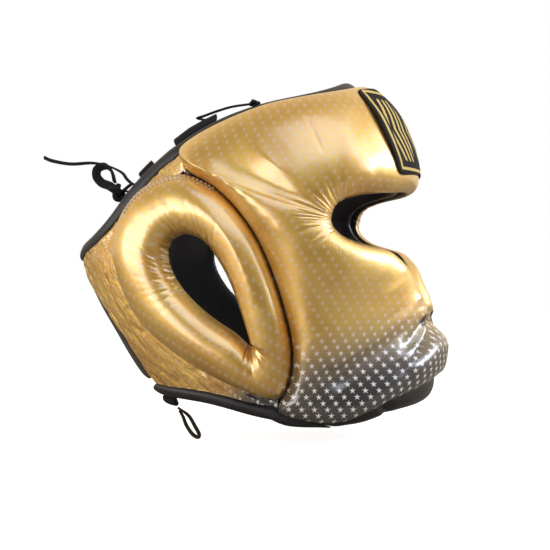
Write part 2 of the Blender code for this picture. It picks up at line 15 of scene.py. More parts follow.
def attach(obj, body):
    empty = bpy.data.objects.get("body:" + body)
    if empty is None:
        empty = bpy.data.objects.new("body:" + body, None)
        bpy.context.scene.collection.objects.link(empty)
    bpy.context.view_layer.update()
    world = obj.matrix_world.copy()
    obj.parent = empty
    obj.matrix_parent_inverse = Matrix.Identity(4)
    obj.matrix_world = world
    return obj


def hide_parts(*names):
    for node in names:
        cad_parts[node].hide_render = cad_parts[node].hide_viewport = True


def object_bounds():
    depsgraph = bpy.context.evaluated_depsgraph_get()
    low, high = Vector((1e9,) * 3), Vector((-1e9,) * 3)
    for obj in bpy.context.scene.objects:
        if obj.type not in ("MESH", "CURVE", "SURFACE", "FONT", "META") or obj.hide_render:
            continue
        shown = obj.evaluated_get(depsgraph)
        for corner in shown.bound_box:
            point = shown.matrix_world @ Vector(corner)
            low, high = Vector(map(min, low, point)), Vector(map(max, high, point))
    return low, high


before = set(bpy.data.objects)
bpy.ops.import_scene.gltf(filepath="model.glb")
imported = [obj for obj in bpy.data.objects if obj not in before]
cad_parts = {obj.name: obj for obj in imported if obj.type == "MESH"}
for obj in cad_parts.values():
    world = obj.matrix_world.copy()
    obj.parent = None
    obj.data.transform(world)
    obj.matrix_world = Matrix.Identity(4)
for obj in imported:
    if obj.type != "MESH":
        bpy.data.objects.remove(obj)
cad_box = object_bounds()

# Camera: level with the middle of the hollow, on the wearer's right and a little in front
CAMERA_DISTANCE = 1.2
CAMERA_TURN = math.radians(10)
CAMERA_LENS = 98.2

# Half the width, length and height that the laces' routes are shares of, as in part.py
FORM_SIZES = np.array([0.081, 0.140, 0.130])

# Laces, where the bow is two layers side by side
LACE_WIDTH = 0.0034
LACE_THICKNESS = 0.0017
BOW_WIDTH = 0.0072
BOW_THICKNESS = 0.0024
TIE_WIDTH = 0.0030
TIE_THICKNESS = 0.0015
CROWN_KNOT_SIZE = 0.0075
REAR_KNOT_SIZE = 0.0125
ROUTE_STEPS = 8
STRIP_CORNERS = 12

# Tapes, tabs and seams
TAB_BEVEL = 0.0006
TAPE_SWELL = 0.0009
HEM_TAPER = 0.034
HEM_WINDOW = 0.006
HEM_STATIONS = 24
HEM_POINT_RISE = 0.0018
# Black tapes behind the seams at the hems and ear rings, which close them and are painted shade in the
# creases
HEM_SHADE_TAPE_WIDTH = 0.0110
HEM_SHADE_TAPE_RISE = 0.0035
EAR_SHADE_TAPE_WIDTH = 0.0090
EAR_SHADE_TAPE_OUT = 0.0012
EAR_SHADE_TAPE_SINK = 0.0050
SHADE_TAPE_THICKNESS = 0.0016
WELT_WIDTH = 0.0018
WELT_OUT = 0.0015
SEAM_GAP = 0.0003

# Stitches, and the cross-sections of one: place along it, and size as a share of its thickness
STITCH_PITCH = 0.0034
STITCH_LENGTH = 0.0027
STITCH_THICKNESS = 0.0013
STITCH_CORNERS = 6
STITCH_RINGS = [(-1, 0.25), (-0.7, 0.85), (0, 1.0), (0.7, 0.85), (1, 0.25)]

# The seam round an ear ring: its points, and its sewn, welted and backed stretches in degrees
SEAM_POINTS = 260
STITCHED = (38, 96)
WELTED = (92, 242)
BACKED = (76, 254)
STITCH_ROWS = (0.905, 0.950)

# The print: a slanting lattice of stars
STAR_SPACING = 0.0097
STAR_ROW = 0.0046
STAR_SHIFT = -0.0032
STAR_RADIUS = 0.0024
STAR_NOTCH = 0.36
STAR_SOFTNESS = 0.0003
PRINT_TILT = 24

# Where the print wraps round: half sizes of the oval that it is measured along
WRAP_HALF_WIDTH = 0.100
WRAP_HALF_LENGTH = 0.125
WRAP_ROUNDNESS = 2.6

# Where the print fades to black: a place on the line where it starts, the way it goes and how far
FADE_FROM = (0, -0.042, -0.034)
FADE_ALONG = (0, -0.31, -0.95)
FADE_LENGTH = 0.065
RING_FADE_FROM = (0, 0, -0.2)
RING_FADE_LENGTH = 0.05
PANEL_FADE_FROM = (0, 0.020, -0.072)
PANEL_FADE_ALONG = (0, -0.75, -0.66)
PANEL_FADE_LENGTH = 0.035

# The clear film over the printed leather, and how metallic the gold is
FILM_WEIGHT = 0.9
FILM_ROUGHNESS = 0.22
FILM_IOR = 2.1
GOLD_METALLIC = 0.85

# Relief in the leather, in metres
STREAK_DEPTH = 0.0005
CRINKLE_DEPTH = 0.0012
GRAIN_DEPTH = 0.00004

# Centres seen from the side, as back and up
EAR_CENTRE = (0.036, -0.004)
EAR_TIP = (0.005, -0.050)
EAR_HOLE_RADIUS = 0.034
EYE_CENTRE = (-0.066, 0.040)
EYE_RADIUS = 0.014
EYE_FOLD_RADIUS = 0.022
FOLD_REACH = 0.030

# How finely edges and grooves are worked out, and how sharp the outline of the wedge of painted shade in
# the chin crease is
EDGE_BINS = 150
PATH_STEPS = 48
WEDGE_SHARPNESS = 60

# Gathers: depth, first and last angle, how many, width in degrees, reach as a share, seed
RING_GATHERS = [
    (0.0010, -38, 104, 46, 1.1, 0.33, 11),
    (0.0004, -30, 70, 10, 3.0, 0.45, 12),
    (0.0004, -100, -38, 22, 1.0, 0.14, 13),
]
TIP_GATHERS = [(0.0017, -158, -84, 10, 3.6, 0.75, 14)]
EYE_GATHERS = [(0.0006, -52, 100, 54, 1.2, 0.42, 21)]

# The brow patch, with its threads in radians a metre
PATCH_HALF_WIDTH = 0.050
PATCH_HALF_HEIGHT = 0.037
PATCH_BINS = 24
PATCH_WEAVE = 5200.0
PATCH_SATIN = 7800.0
PATCH_OVERCAST = 5600.0

# Colours, as linear light
GOLD = (0.81, 0.52, 0.120)
GOLD_DEEP = (0.71, 0.40, 0.074)
TAUPE = (0.27, 0.205, 0.120)
CHARCOAL = (0.030, 0.026, 0.029)
STAR_ON_BLACK = (0.95, 0.89, 0.86)
STAR_ON_GOLD = (0.66, 0.52, 0.43)
BLACK = (0.010, 0.009, 0.012)
# The lining's black, which is also painted shade in the chin fold's groove
LINING_AND_CREASE_SHADE_BLACK = (0.012, 0.011, 0.014)
THREAD_GOLD = (0.86, 0.62, 0.20)
PALE_THREAD = (0.52, 0.42, 0.36)
WELT_BROWN = (0.20, 0.14, 0.12)
TIE_BRONZE = (0.030, 0.024, 0.016)
RAISED_CREASE_BLACK = (0.022, 0.020, 0.027)
# The patch's black cloth, as painted shade in the dips and painted highlight on the raised threads
PATCH_BLACK_IN_SHADE = (0.004, 0.003, 0.003)
PATCH_BLACK_HIGHLIT = (0.020, 0.017, 0.016)

# The studio: how bright it is behind the camera, what the floor and the walls lend to reflections
DARK_SIDE = 0.05
BRIGHT_SIDE = 0.9
FLOOR_IN_REFLECTIONS = (0.30, 0.26, 0.20)
FLOOR_GREY = (0.5, 0.5, 0.5)
FLOOR_GLOW = 0.85
ROOM_TINT = (1, 0.85, 0.61)
COOL_LIGHT = (0.90, 1.0, 1.18)

# Sockets of a Mix node that mixes colours
MIX_SHARE = 0
MIX_FIRST = 6
MIX_SECOND = 7
MIX_COLOUR = 2


def smoothed(shares):
    """Shares from 0 to 1 with a soft start and end."""
    return shares * shares * (3 - 2 * shares)


def between(spots, known, places, period=None):
    """Places at some spots along a line, from the places at its known spots."""
    axes = [np.interp(spots, known, places[:, axis], period=period) for axis in range(3)]
    return np.stack(axes, axis=1)


def lengths_along(path):
    """How far along a path each of its points is."""
    steps = np.linalg.norm(np.diff(path, axis=0), axis=1)
    return np.concatenate([[0], np.cumsum(steps)])


def select_only(piece):
    bpy.ops.object.select_all(action="DESELECT")
    piece.select_set(True)
    bpy.context.view_layer.objects.active = piece


def soft_copy(node, levels):
    """A smooth copy of a CAD solid: merged, its triangles paired into squares, then subdivided."""
    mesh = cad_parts[node].data.copy()
    mesh.materials.clear()
    piece = bpy.data.objects.new(node + "_soft", mesh)
    bpy.context.scene.collection.objects.link(piece)
    select_only(piece)
    bpy.ops.object.mode_set(mode="EDIT")
    bpy.ops.mesh.select_all(action="SELECT")
    bpy.ops.mesh.remove_doubles(threshold=1e-5)
    bpy.ops.mesh.tris_convert_to_quads(face_threshold=math.pi, shape_threshold=math.pi)
    bpy.ops.object.mode_set(mode="OBJECT")
    if levels:
        add_modifier(piece, "SUBSURF", levels=levels, render_levels=levels)
    bpy.ops.object.shade_smooth()
    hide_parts(node)
    return piece


def add_modifier(piece, kind, **settings):
    select_only(piece)
    modifier = piece.modifiers.new(kind.lower(), kind)
    for name, value in settings.items():
        setattr(modifier, name, value)
    bpy.ops.object.modifier_apply(modifier=modifier.name)


def points_of(piece):
    points = np.empty(len(piece.data.vertices) * 3)
    piece.data.vertices.foreach_get("co", points)
    return points.reshape(-1, 3)


def normals_of(piece):
    normals = np.empty(len(piece.data.vertices) * 3)
    piece.data.vertex_normals.foreach_get("vector", normals)
    return normals.reshape(-1, 3)


def move_points(piece, points):
    piece.data.vertices.foreach_set("co", points.ravel())
    piece.data.update()


def corners_of(piece):
    """The number of the point at each corner of each face."""
    corners = np.empty(len(piece.data.loops), int)
    piece.data.loops.foreach_get("vertex_index", corners)
    return corners


def set_map(piece, name, values):
    """A UV map from two numbers for each point."""
    layer = piece.data.uv_layers.new(name=name)
    layer.data.foreach_set("uv", values[corners_of(piece)].astype(np.float32).ravel())


def wrap_length(points):
    """How far round the headgear each point is, measured along an oval from the middle of the brow."""
    turns = np.linspace(-math.pi, math.pi, 721)
    size = np.abs(np.sin(turns) / WRAP_HALF_WIDTH) ** WRAP_ROUNDNESS
    size += np.abs(np.cos(turns) / WRAP_HALF_LENGTH) ** WRAP_ROUNDNESS
    radius = size ** (-1 / WRAP_ROUNDNESS)
    oval = np.stack([-radius * np.sin(turns), -radius * np.cos(turns)], axis=1)
    lengths = lengths_along(oval)
    lengths -= lengths[len(lengths) // 2]
    turn = np.arctan2(-points[:, 0], -points[:, 1])
    return np.interp(turn, turns, lengths)


def print_map(piece, tilt=0.0):
    """Lays the star print on a piece: round the head and up, turned by tilt degrees."""
    points = points_of(piece)
    across, up = -wrap_length(points), points[:, 2]
    tilt = math.radians(tilt) * np.sign(points[:, 0])
    turned = np.stack([
        across * np.cos(tilt) - up * np.sin(tilt),
        across * np.sin(tilt) + up * np.cos(tilt),
    ], axis=1)
    set_map(piece, "print", turned)


# Shader expressions

class Socket:
    """A number that comes out of a node and works in Python expressions."""

    def __init__(self, shader, socket):
        self.shader = shader
        self.socket = socket

    def math(self, operation, first, second=0.0):
        return self.shader.node("ShaderNodeMath", {"operation": operation}, {0: first, 1: second})

    def __add__(self, other):
        return self.math("ADD", self, other)

    def __sub__(self, other):
        return self.math("SUBTRACT", self, other)

    def __mul__(self, other):
        return self.math("MULTIPLY", self, other)

    def __truediv__(self, other):
        return self.math("DIVIDE", self, other)

    def __rsub__(self, other):
        return self.math("SUBTRACT", other, self)

    def __rtruediv__(self, other):
        return self.math("DIVIDE", other, self)

    def __abs__(self):
        return self.math("ABSOLUTE", self)

    __radd__ = __add__
    __rmul__ = __mul__

    def floor(self):
        return self.math("FLOOR", self)

    def fraction(self):
        return self.math("FRACT", self)

    def sine(self):
        return self.math("SINE", self)

    def cosine(self):
        return self.math("COSINE", self)

    def root(self):
        return self.math("SQRT", self)

    def least(self, other):
        return self.math("MINIMUM", self, other)

    def most(self, other):
        return self.math("MAXIMUM", self, other)

    def clamped(self):
        return self.math("MAXIMUM", self.math("MINIMUM", self, 1.0), 0.0)

    def ramp(self, low, high):
        """0 below low, 1 above high and a smooth rise between."""
        return self.shader.node(
            "ShaderNodeMapRange",
            {"interpolation_type": "SMOOTHSTEP"},
            {"Value": self, "From Min": low, "From Max": high},
        )


class Shader:
    """A material and the nodes that feed it."""

    def __init__(self, name, colour, roughness, **constants):
        self.material = bpy.data.materials.new(name)
        self.material.use_nodes = True
        self.tree = self.material.node_tree
        self.surface = self.tree.nodes["Principled BSDF"]
        self.surface.inputs["Base Color"].default_value = (*colour, 1)
        self.surface.inputs["Roughness"].default_value = roughness
        for socket, value in constants.items():
            self.surface.inputs[socket.replace("_", " ")].default_value = value

    def node(self, kind, settings=None, values=None, output=0):
        made = self.tree.nodes.new(kind)
        for name, value in (settings or {}).items():
            setattr(made, name, value)
        for name, value in (values or {}).items():
            if isinstance(value, Socket):
                self.tree.links.new(value.socket, made.inputs[name])
            else:
                made.inputs[name].default_value = value
        return Socket(self, made.outputs[output])

    def feed(self, **values):
        """Links values to the surface's sockets, named with an underscore for each space."""
        for name, value in values.items():
            self.tree.links.new(value.socket, self.surface.inputs[name.replace("_", " ")])

    def place(self):
        """Places in object space, in metres."""
        return self.node("ShaderNodeTexCoord", output="Object")

    def axes(self, vector):
        return [self.node("ShaderNodeSeparateXYZ", values={0: vector}, output=axis) for axis in range(3)]

    def map(self, name):
        return self.node("ShaderNodeUVMap", {"uv_map": name})

    def scaled(self, vector, scale):
        return self.node("ShaderNodeVectorMath", {"operation": "MULTIPLY"}, {0: vector, 1: scale})

    def noise(self, vector, scale, detail=3.0, roughness=0.5, distortion=0.0):
        return self.node(
            "ShaderNodeTexNoise",
            values={
                "Vector": vector,
                "Scale": scale,
                "Detail": detail,
                "Roughness": roughness,
                "Distortion": distortion,
            },
        )

    def cells(self, vector, scale):
        return self.node("ShaderNodeTexVoronoi", values={"Vector": vector, "Scale": scale})

    def mix(self, share, first, second):
        """A colour between two colours, each a tuple or a socket."""
        made = self.tree.nodes.new("ShaderNodeMix")
        made.data_type = "RGBA"
        for index, value in ((MIX_SHARE, share), (MIX_FIRST, first), (MIX_SECOND, second)):
            if isinstance(value, Socket):
                self.tree.links.new(value.socket, made.inputs[index])
            else:
                made.inputs[index].default_value = value if index == MIX_SHARE else (*value, 1)
        return Socket(self, made.outputs[MIX_COLOUR])

    def bump(self, height):
        """Relief from a height in metres."""
        values = {"Height": height, "Distance": 1.0, "Strength": 1.0}
        self.feed(Normal=self.node("ShaderNodeBump", values=values))


def star_mask(across, up):
    """1 inside the stars of the slanting lattice."""
    row = (up / STAR_ROW).floor()
    x = (((across - row * STAR_SHIFT) / STAR_SPACING).fraction() - 0.5) * STAR_SPACING
    y = ((up / STAR_ROW).fraction() - 0.5) * STAR_ROW
    sector = 2 * math.pi / 5
    angle = x.math("ARCTAN2", x, y)
    folded = abs((angle / sector + 0.5).fraction() - 0.5) * sector
    radius = (x * x + y * y).root()
    tip = np.array([STAR_RADIUS, 0.0])
    notch = STAR_RADIUS * STAR_NOTCH * np.array([math.cos(sector / 2), math.sin(sector / 2)])
    side = notch - tip
    outward = np.array([-side[1], side[0]]) / np.linalg.norm(side)
    if outward @ tip < 0:
        outward = -outward
    reach = float(outward @ tip)
    past = radius * (folded.cosine() * float(outward[0]) + folded.sine() * float(outward[1])) - reach
    return (0.5 - past / STAR_SOFTNESS).clamped()


def printed_leather(name, fade_from, fade_along, fade_length, streaks=0.0, reach=14.0, crinkle=0.0):
    """Gold leather under a clear film, printed with stars, which fades to black along a direction."""
    film = {"Coat_Weight": FILM_WEIGHT, "Coat_Roughness": FILM_ROUGHNESS, "Coat_IOR": FILM_IOR}
    shader = Shader(name, GOLD, 0.4, **film)
    place = shader.place()
    _, y, z = shader.axes(place)
    across, up, _ = shader.axes(shader.map("print"))
    inside, _, _ = shader.axes(shader.map("lining"))
    inside = inside.ramp(-0.03, 0.03)
    along = Vector(fade_along).normalized()
    start = Vector(fade_from).dot(along)
    cloudy = shader.noise(place, 22.0, 2.0)
    way = (y * along.y + z * along.z - start) / fade_length + (cloudy - 0.5) * 0.16
    dark = way.clamped()
    stars = star_mask(across, up)

    leather = shader.mix(cloudy.ramp(0.35, 0.7), GOLD, GOLD_DEEP)
    fading = shader.mix(dark.ramp(0.0, 0.7), leather, TAUPE)
    fading = shader.mix(dark.ramp(0.3, 1.0), fading, CHARCOAL)
    star_colour = shader.mix(dark.ramp(0.0, 0.6), STAR_ON_GOLD, STAR_ON_BLACK)
    cover = stars * (dark.ramp(0.0, 0.7) * 0.44 + 0.48)
    colour = shader.mix(cover, fading, star_colour)
    # The lining's black is also painted shade in the chin fold's groove, marked on the same map, with
    # less of the film there
    shader.feed(Base_Color=shader.mix(inside, colour, LINING_AND_CREASE_SHADE_BLACK))
    shader.feed(Metallic=(GOLD_METALLIC - dark * 0.65) * (1 - cover) * (1 - inside))
    shader.feed(Coat_Weight=FILM_WEIGHT - inside * 0.7)

    grain = shader.cells(place, 900.0)
    creases = shader.noise(place, 60.0, 4.0, 0.6, 0.6)
    height = creases * 0.0003 - grain * GRAIN_DEPTH
    if crinkle:
        lengthways = y * -0.58 + z * -0.81
        crossways = y * 0.81 + z * -0.58
        stretched = shader.node(
            "ShaderNodeCombineXYZ", values={0: crossways, 1: lengthways * 0.28, 2: 0.0}
        )
        broad = shader.noise(stretched, 170.0, 3.0, 0.6, 1.0)
        fine = shader.noise(stretched, 420.0, 3.0, 0.6, 0.8)
        height = height - abs(broad - 0.5) * crinkle * 2.0 - abs(fine - 0.5) * crinkle * 0.7
    if streaks:
        folds = shader.map("folds")
        streak = shader.noise(shader.scaled(folds, (1.0, 0.12, 0.0)), 1.0, 3.0, 0.55, 0.3)
        _, away, _ = shader.axes(folds)
        height = height + streak * (1 - away.ramp(0.0, reach)) * streaks
    shader.bump(height)
    shader.feed(Roughness=0.40 + creases * 0.12 + dark * 0.04)
    return shader.material


def black_leather(name, roughness=0.38):
    """Soft black leather with a fine grain and shallow creases."""
    shader = Shader(name, BLACK, roughness, Coat_Weight=0.15, Coat_Roughness=0.3)
    place = shader.place()
    creases = shader.noise(place, 45.0, 4.0, 0.6, 0.8)
    grain = shader.cells(place, 800.0)
    shader.bump(creases * 0.0005 + grain * GRAIN_DEPTH)
    shader.feed(Roughness=creases * 0.25 + (roughness - 0.1))
    # A lighter black where the creases rise
    shader.feed(Base_Color=shader.mix(creases.ramp(0.4, 0.7), BLACK, RAISED_CREASE_BLACK))
    return shader.material


def webbing(name, map_name=None, rib=0.0011, colour=BLACK):
    """Ribbed webbing or lace, woven along its own map or in object space."""
    shader = Shader(name, colour, 0.8, Specular_IOR_Level=0.25)
    if map_name:
        along, across, _ = shader.axes(shader.map(map_name))
    else:
        _, along, across = shader.axes(shader.place())
    turn = 2 * math.pi / rib
    weave = (along * turn + (across * turn).sine() * 0.8).sine() * (across * turn * 1.3).cosine()
    shader.bump(weave * 0.00018)
    # Painted highlight and shade: the weave's raised threads are 2.4 times lighter than the dips between
    # them
    light = tuple(channel * 2.4 for channel in colour)
    shader.feed(Base_Color=shader.mix(weave.ramp(-0.2, 1.0), colour, light))
    return shader.material


def plain_thread(name, colour):
    """Twisted thread, or a thin cord covered with it."""
    shader = Shader(name, colour, 0.6, Sheen_Weight=0.3)
    twist = shader.noise(shader.place(), 1500.0, 1.0)
    shader.bump(twist * 0.0001)
    return shader.material


# Camera

def make_camera():
    along = Vector((math.cos(CAMERA_TURN), math.sin(CAMERA_TURN), 0))
    camera = bpy.data.objects.new("camera", bpy.data.cameras.new("camera"))
    camera.data.sensor_width = 36
    camera.data.sensor_fit = "HORIZONTAL"
    camera.data.lens = CAMERA_LENS
    camera.location = -along * CAMERA_DISTANCE
    camera.rotation_euler = along.to_track_quat("-Z", "Y").to_euler()
    bpy.context.scene.collection.objects.link(camera)
    bpy.context.scene.camera = camera


make_camera()


# Laces

# Routes as in part.py, as shares of FORM_SIZES. The rear lace's last two points, up to the left tab,
# and the tie loop's last one, which closes it, are only here.
CROWN_KNOT = (0.625, 0.050, 1.011)
REAR_KNOT = (-0.495, 0.851, 0.503)
CROWN_LACE = [
    (-0.625, 0.077, 1.009),
    (-0.612, 0.180, 0.996),
    (-0.606, 0.270, 0.970),
    (-0.597, 0.335, 0.947),
    (-0.560, 0.375, 0.938),
    (-0.400, 0.385, 0.942),
    (-0.200, 0.390, 0.950),
    (0.0, 0.392, 0.954),
]
REAR_LACE = [
    (-0.597, 0.758, 0.541),
    (-0.500, 0.815, 0.508),
    (-0.250, 0.845, 0.515),
    (0.0, 0.850, 0.523),
    (0.250, 0.840, 0.530),
    (0.500, 0.800, 0.540),
    (0.560, 0.765, 0.545),
    (0.600, 0.735, 0.560),
    (0.640, 0.700, 0.583),
]
LACE_BOW = [
    (-0.473, 0.868, 0.519),
    (-0.400, 0.915, 0.545),
    (-0.350, 0.965, 0.565),
    (-0.335, 0.998, 0.605),
    (-0.350, 0.990, 0.650),
    (-0.395, 0.935, 0.665),
    (-0.450, 0.890, 0.630),
    (-0.480, 0.868, 0.565),
]
LACE_FREE_END = [
    (-0.671, 0.729, 0.541),
    (-0.625, 0.752, 0.553),
    (-0.617, 0.776, 0.577),
    (-0.593, 0.811, 0.618),
    (-0.531, 0.904, 0.661),
    (-0.457, 1.005, 0.682),
    (-0.370, 1.145, 0.682),
    (-0.309, 1.264, 0.705),
    (-0.272, 1.322, 0.728),
]
NAPE_TIE_LOOP = [
    (-0.688, 0.472, -0.787),
    (-0.704, 0.411, -0.831),
    (-0.704, 0.375, -0.892),
    (-0.704, 0.351, -0.940),
    (-0.704, 0.359, -0.958),
    (-0.704, 0.389, -0.940),
    (-0.704, 0.423, -0.888),
    (-0.704, 0.441, -0.840),
    (-0.700, 0.462, -0.802),
]


def mirrored_route(route):
    """A route from the right side to the middle, carried on as its mirror image."""
    return route + [(-across, back, up) for across, back, up in route[-2::-1]]


def smooth_route(route):
    """A smooth curve through route points, in metres."""
    knots = np.array(route) * FORM_SIZES
    padded = np.concatenate([2 * knots[:1] - knots[1:2], knots, 2 * knots[-1:] - knots[-2:-1]])
    shares = np.arange(ROUTE_STEPS)[:, None] / ROUTE_STEPS
    pieces = []
    for before, here, after, later in zip(padded, padded[1:], padded[2:], padded[3:]):
        pieces.append(0.5 * (
            2 * here
            + (after - before) * shares
            + (2 * before - 5 * here + 4 * after - later) * shares**2
            + (3 * here - before - 3 * after + later) * shares**3
        ))
    return np.concatenate(pieces + [knots[-1:]])


def outward_faces(piece):
    select_only(piece)
    bpy.ops.object.mode_set(mode="EDIT")
    bpy.ops.mesh.select_all(action="SELECT")
    bpy.ops.mesh.normals_make_consistent(inside=False)
    bpy.ops.object.mode_set(mode="OBJECT")


def new_piece(name, points, faces, material):
    """A smooth piece from points and faces, with its faces turned outwards."""
    mesh = bpy.data.meshes.new(name)
    mesh.from_pydata(points, [], faces)
    mesh.materials.append(material)
    piece = bpy.data.objects.new(name, mesh)
    bpy.context.scene.collection.objects.link(piece)
    outward_faces(piece)
    bpy.ops.object.shade_smooth()
    return piece


def tube_faces(first, rings, around):
    """The faces of a closed tube whose rings of points are numbered one after the other."""
    faces = []
    for ring in range(rings - 1):
        near, far = first + ring * around, first + (ring + 1) * around
        for spot in range(around):
            after = (spot + 1) % around
            faces.append((near + spot, near + after, far + after, far + spot))
    faces.append(tuple(range(first, first + around))[::-1])
    last = first + (rings - 1) * around
    faces.append(tuple(range(last, last + around)))
    return faces


def flat_strip(name, path, width, thickness, twist, material, facing=(0, 0, 1)):
    """A flat woven lace swept along a path, turned by twist degrees from end to end."""
    ahead = np.gradient(path, axis=0)
    ahead /= np.linalg.norm(ahead, axis=1, keepdims=True)
    side = np.cross(np.asarray(facing, float), ahead[0])
    side /= np.linalg.norm(side)
    lengths = lengths_along(path)
    around = STRIP_CORNERS
    angles = np.arange(around) * 2 * math.pi / around
    profile = np.stack([
        np.sign(np.cos(angles)) * np.abs(np.cos(angles)) ** 0.6 * width / 2,
        np.sign(np.sin(angles)) * np.abs(np.sin(angles)) ** 0.8 * thickness / 2,
    ], axis=1)
    points, places = [], []
    for index, centre in enumerate(path):
        side = side - ahead[index] * (side @ ahead[index])
        side /= np.linalg.norm(side)
        turn = math.radians(twist) * lengths[index] / lengths[-1]
        upright = np.cross(ahead[index], side)
        across = side * math.cos(turn) + upright * math.sin(turn)
        over = np.cross(ahead[index], across)
        points.append(centre + profile[:, :1] * across + profile[:, 1:] * over)
        places.append(np.stack([np.full(around, lengths[index]), profile[:, 0]], axis=1))
    faces = tube_faces(0, len(path), around)
    piece = new_piece(name, np.concatenate(points).tolist(), faces, material)
    set_map(piece, "weave", np.concatenate(places))
    return piece


def lace(
    node, route, twist,
    width=LACE_WIDTH, thickness=LACE_THICKNESS, material=None, facing=(0, 0, 1),
):
    """A woven lace along the route of its CAD node."""
    path = smooth_route(route)
    piece = flat_strip(node + "_woven", path, width, thickness, twist, material or lace_weave, facing)
    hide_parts(node)
    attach(piece, "root")


def lace_knot(node, place, size, tilt):
    """A small overhand knot: a lace along a trefoil curve."""
    turns = np.linspace(0, 2 * math.pi, 61)
    trefoil = np.stack([
        np.sin(turns) + 2 * np.sin(2 * turns),
        np.cos(turns) - 2 * np.cos(2 * turns),
        -1.4 * np.sin(3 * turns),
    ], axis=1) * size / 6
    lean = math.radians(tilt)
    turned = trefoil.copy()
    turned[:, 1] = trefoil[:, 1] * math.cos(lean) - trefoil[:, 2] * math.sin(lean)
    turned[:, 2] = trefoil[:, 1] * math.sin(lean) + trefoil[:, 2] * math.cos(lean)
    centre = np.array(place) * FORM_SIZES
    piece = flat_strip(
        node + "_tied", turned + centre, size * 0.34, size * 0.30, 0.0, lace_weave, (0.3, 0.2, 1)
    )
    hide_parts(node)
    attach(piece, "root")


lace_weave = webbing("woven lace", "weave", 0.0012)
tie_weave = webbing("bronze and black tie", "weave", 0.0010, TIE_BRONZE)
lace("crown_lace", mirrored_route(CROWN_LACE), 20.0)
lace("rear_lace", REAR_LACE, 30.0)
lace("lace_bow", LACE_BOW, 25.0, BOW_WIDTH, BOW_THICKNESS, facing=(1, 0, 0))
lace("lace_free_end", LACE_FREE_END, 70.0)
lace("nape_tie_loop", NAPE_TIE_LOOP, 160.0, TIE_WIDTH, TIE_THICKNESS, tie_weave)
lace_knot("lace_knot_right", (-CROWN_KNOT[0], *CROWN_KNOT[1:]), CROWN_KNOT_SIZE, 20)
lace_knot("lace_knot_left", CROWN_KNOT, CROWN_KNOT_SIZE, -20)
lace_knot("lace_knot_rear", REAR_KNOT, REAR_KNOT_SIZE, 60)


# Padded leather

def dress(piece, material):
    piece.data.materials.append(material)
    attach(piece, "root")


def round_centre(points, centre):
    """Angle and distance round a centre seen from the side: 0 degrees is back, 90 is up."""
    back, up = points[:, 1] - centre[0], points[:, 2] - centre[1]
    return np.degrees(np.arctan2(up, back)), np.hypot(back, up)


def edges_round(angle, reach):
    """The least and the greatest distance from the centre at each point's angle."""
    index = ((angle + 180) / 360 * EDGE_BINS).astype(int) % EDGE_BINS
    spots = (np.arange(EDGE_BINS) + 0.5) * 360 / EDGE_BINS - 180
    edges = []
    for pick, start in ((np.minimum, np.inf), (np.maximum, -np.inf)):
        values = np.full(EDGE_BINS, start)
        pick.at(values, index, reach)
        known = np.isfinite(values)
        edges.append(np.interp(angle, spots[known], values[known], period=360))
    return edges


def gathers(angle, share, first, last, count, width, reach, seed):
    """Gathers that run out from a sewn edge: narrow dips at uneven angles, lengths and leans."""
    chance = np.random.default_rng(seed)
    total = np.zeros(len(angle))
    for index in range(count):
        spot = first + (last - first) * (index + chance.uniform(0.1, 0.9)) / count
        lean, depth = chance.uniform(-9, 9), chance.uniform(0.35, 1.0)
        across = width * chance.uniform(0.7, 1.4) * (1 + share)
        length = reach * chance.uniform(0.6, 1.3)
        away = (angle - spot - lean * share + 180) % 360 - 180
        total += depth * np.exp(-((away / across) ** 2) - (share / length) ** 2)
    return total


def gathered(angle, share, table):
    """The depths of all the gathers in a table."""
    depth = np.zeros(len(angle))
    for deep, *spread in table:
        depth += deep * gathers(angle, share, *spread)
    return depth


def press_in(piece, depth):
    """Moves each point inwards by its own depth, in metres."""
    move_points(piece, points_of(piece) - normals_of(piece) * depth[:, None])


def swell(piece, height):
    press_in(piece, np.full(len(piece.data.vertices), -height))


def meet(piece, others, width, reach):
    """Closes a seam up to a width: the edge of a piece leans over to the neighbour beside it."""
    points = points_of(piece)
    graph = bpy.context.evaluated_depsgraph_get()
    for other in others:
        tree = BVHTree.FromObject(other, graph)
        low, high = points_of(other).min(0) - reach, points_of(other).max(0) + reach
        inside = ((points > low) & (points < high)).all(1)
        for index in np.flatnonzero(inside):
            found, _, _, distance = tree.find_nearest(Vector(points[index]), reach)
            if found is None or distance <= SEAM_GAP:
                continue
            fading = smoothed(min(max((distance - width) / (reach - width), 0), 1))
            move = min(distance - SEAM_GAP, width) * (1 - fading)
            points[index] += (np.array(found) - points[index]) * (move / distance)
    move_points(piece, points)


def outward_of(piece):
    """How far each point's surface looks away from the hollow: 1 straight out, -1 straight in."""
    outward = points_of(piece) * (1, 1, 0.4)
    outward /= np.linalg.norm(outward, axis=1, keepdims=True)
    return (normals_of(piece) * outward).sum(1)


def lining_map(piece, level=0.35):
    """Marks where a pad has turned in towards the hollow, above 0, and wears the lining's leather."""
    turned = -outward_of(piece) - level
    set_map(piece, "lining", np.stack([turned, turned], axis=1))


def relax(piece, rounds, level):
    """Evens out the outer face of a pad, without shrinking it, so that its highlights run smoothly."""
    edges = np.empty(len(piece.data.edges) * 2, int)
    piece.data.edges.foreach_get("vertices", edges)
    first, second = edges.reshape(-1, 2).T
    points = points_of(piece)
    counts = np.bincount(edges, minlength=len(points))[:, None]
    weights = smoothed(np.clip((outward_of(piece) - level) / 0.3, 0, 1))[:, None]
    for _ in range(rounds):
        for factor in (0.55, -0.57):
            sums = np.zeros_like(points)
            np.add.at(sums, first, points[second])
            np.add.at(sums, second, points[first])
            points = points + (sums / counts - points) * weights * factor
    move_points(piece, points)


def path_line(path):
    """A path through a few points, divided into many short steps."""
    steps = np.linspace(0, len(path) - 1, PATH_STEPS)
    return between(steps, np.arange(len(path)), np.array(path))


def on_right_side(points):
    """The points, with those on the left mirrored to the right."""
    return np.stack([-np.abs(points[:, 0]), points[:, 1], points[:, 2]], axis=1)


